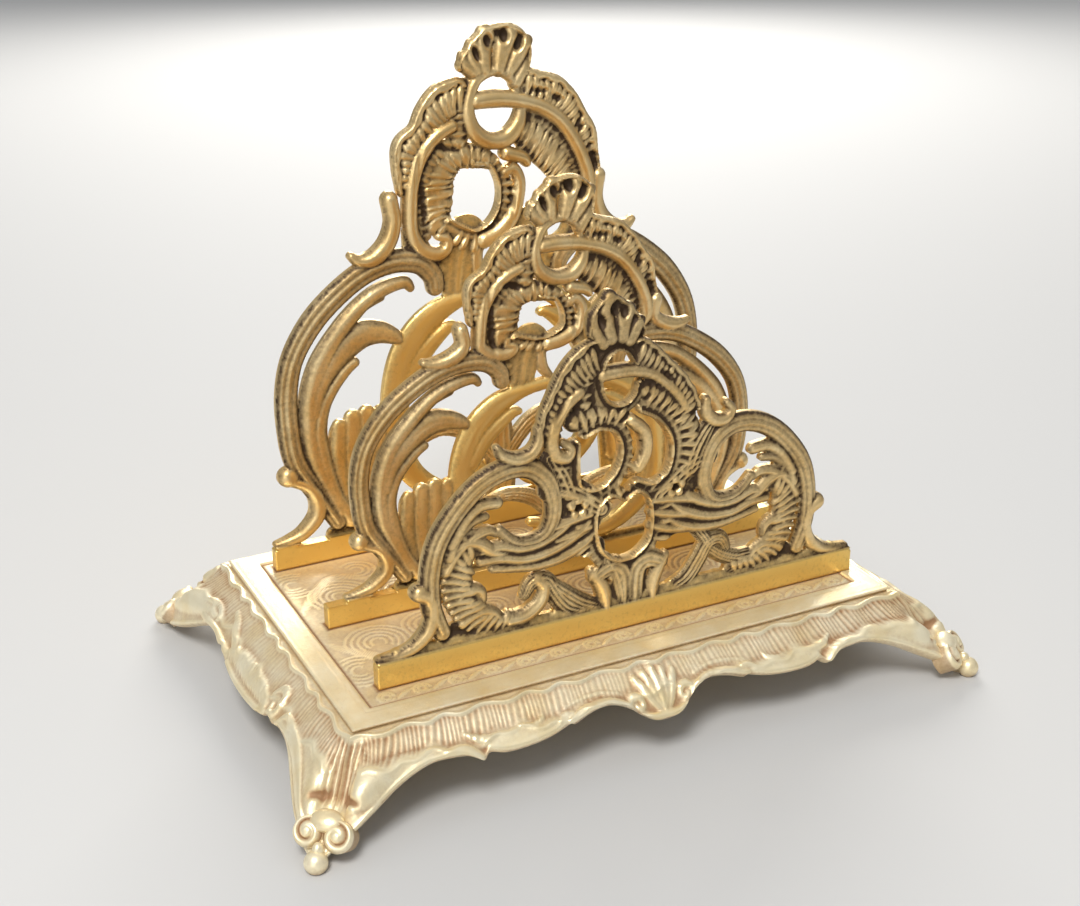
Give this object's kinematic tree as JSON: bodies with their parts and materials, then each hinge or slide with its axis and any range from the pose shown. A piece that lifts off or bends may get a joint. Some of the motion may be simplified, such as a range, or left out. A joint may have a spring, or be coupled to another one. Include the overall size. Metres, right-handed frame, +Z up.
{
  "type": "letter holder",
  "caption": "Cast brass desk letter holder in rococo style: a flared base on scroll feet with pierced scrollwork panels rising in steps to the back.",
  "frame": {"origin": "centre of the base, on the surface it stands on", "axes": "+X to the right along the base, +Y to the back (from the low panel to the high one), +Z up"},
  "size_m": [0.186, 0.1312, 0.1611],
  "materials": {
    "pale_gilt": "pale gilt with brown tarnish in the hollows",
    "antique_gilt": "antique gilt, dark brown patina in the hollows",
    "screw_metal": "dull steel"
  },
  "bodies": {
    "root": {"base": "pale_gilt", "front_panel": "antique_gilt", "middle_panel": "antique_gilt", "rear_panel": "antique_gilt", "screws": "screw_metal"}
  },
  "joints": []
}
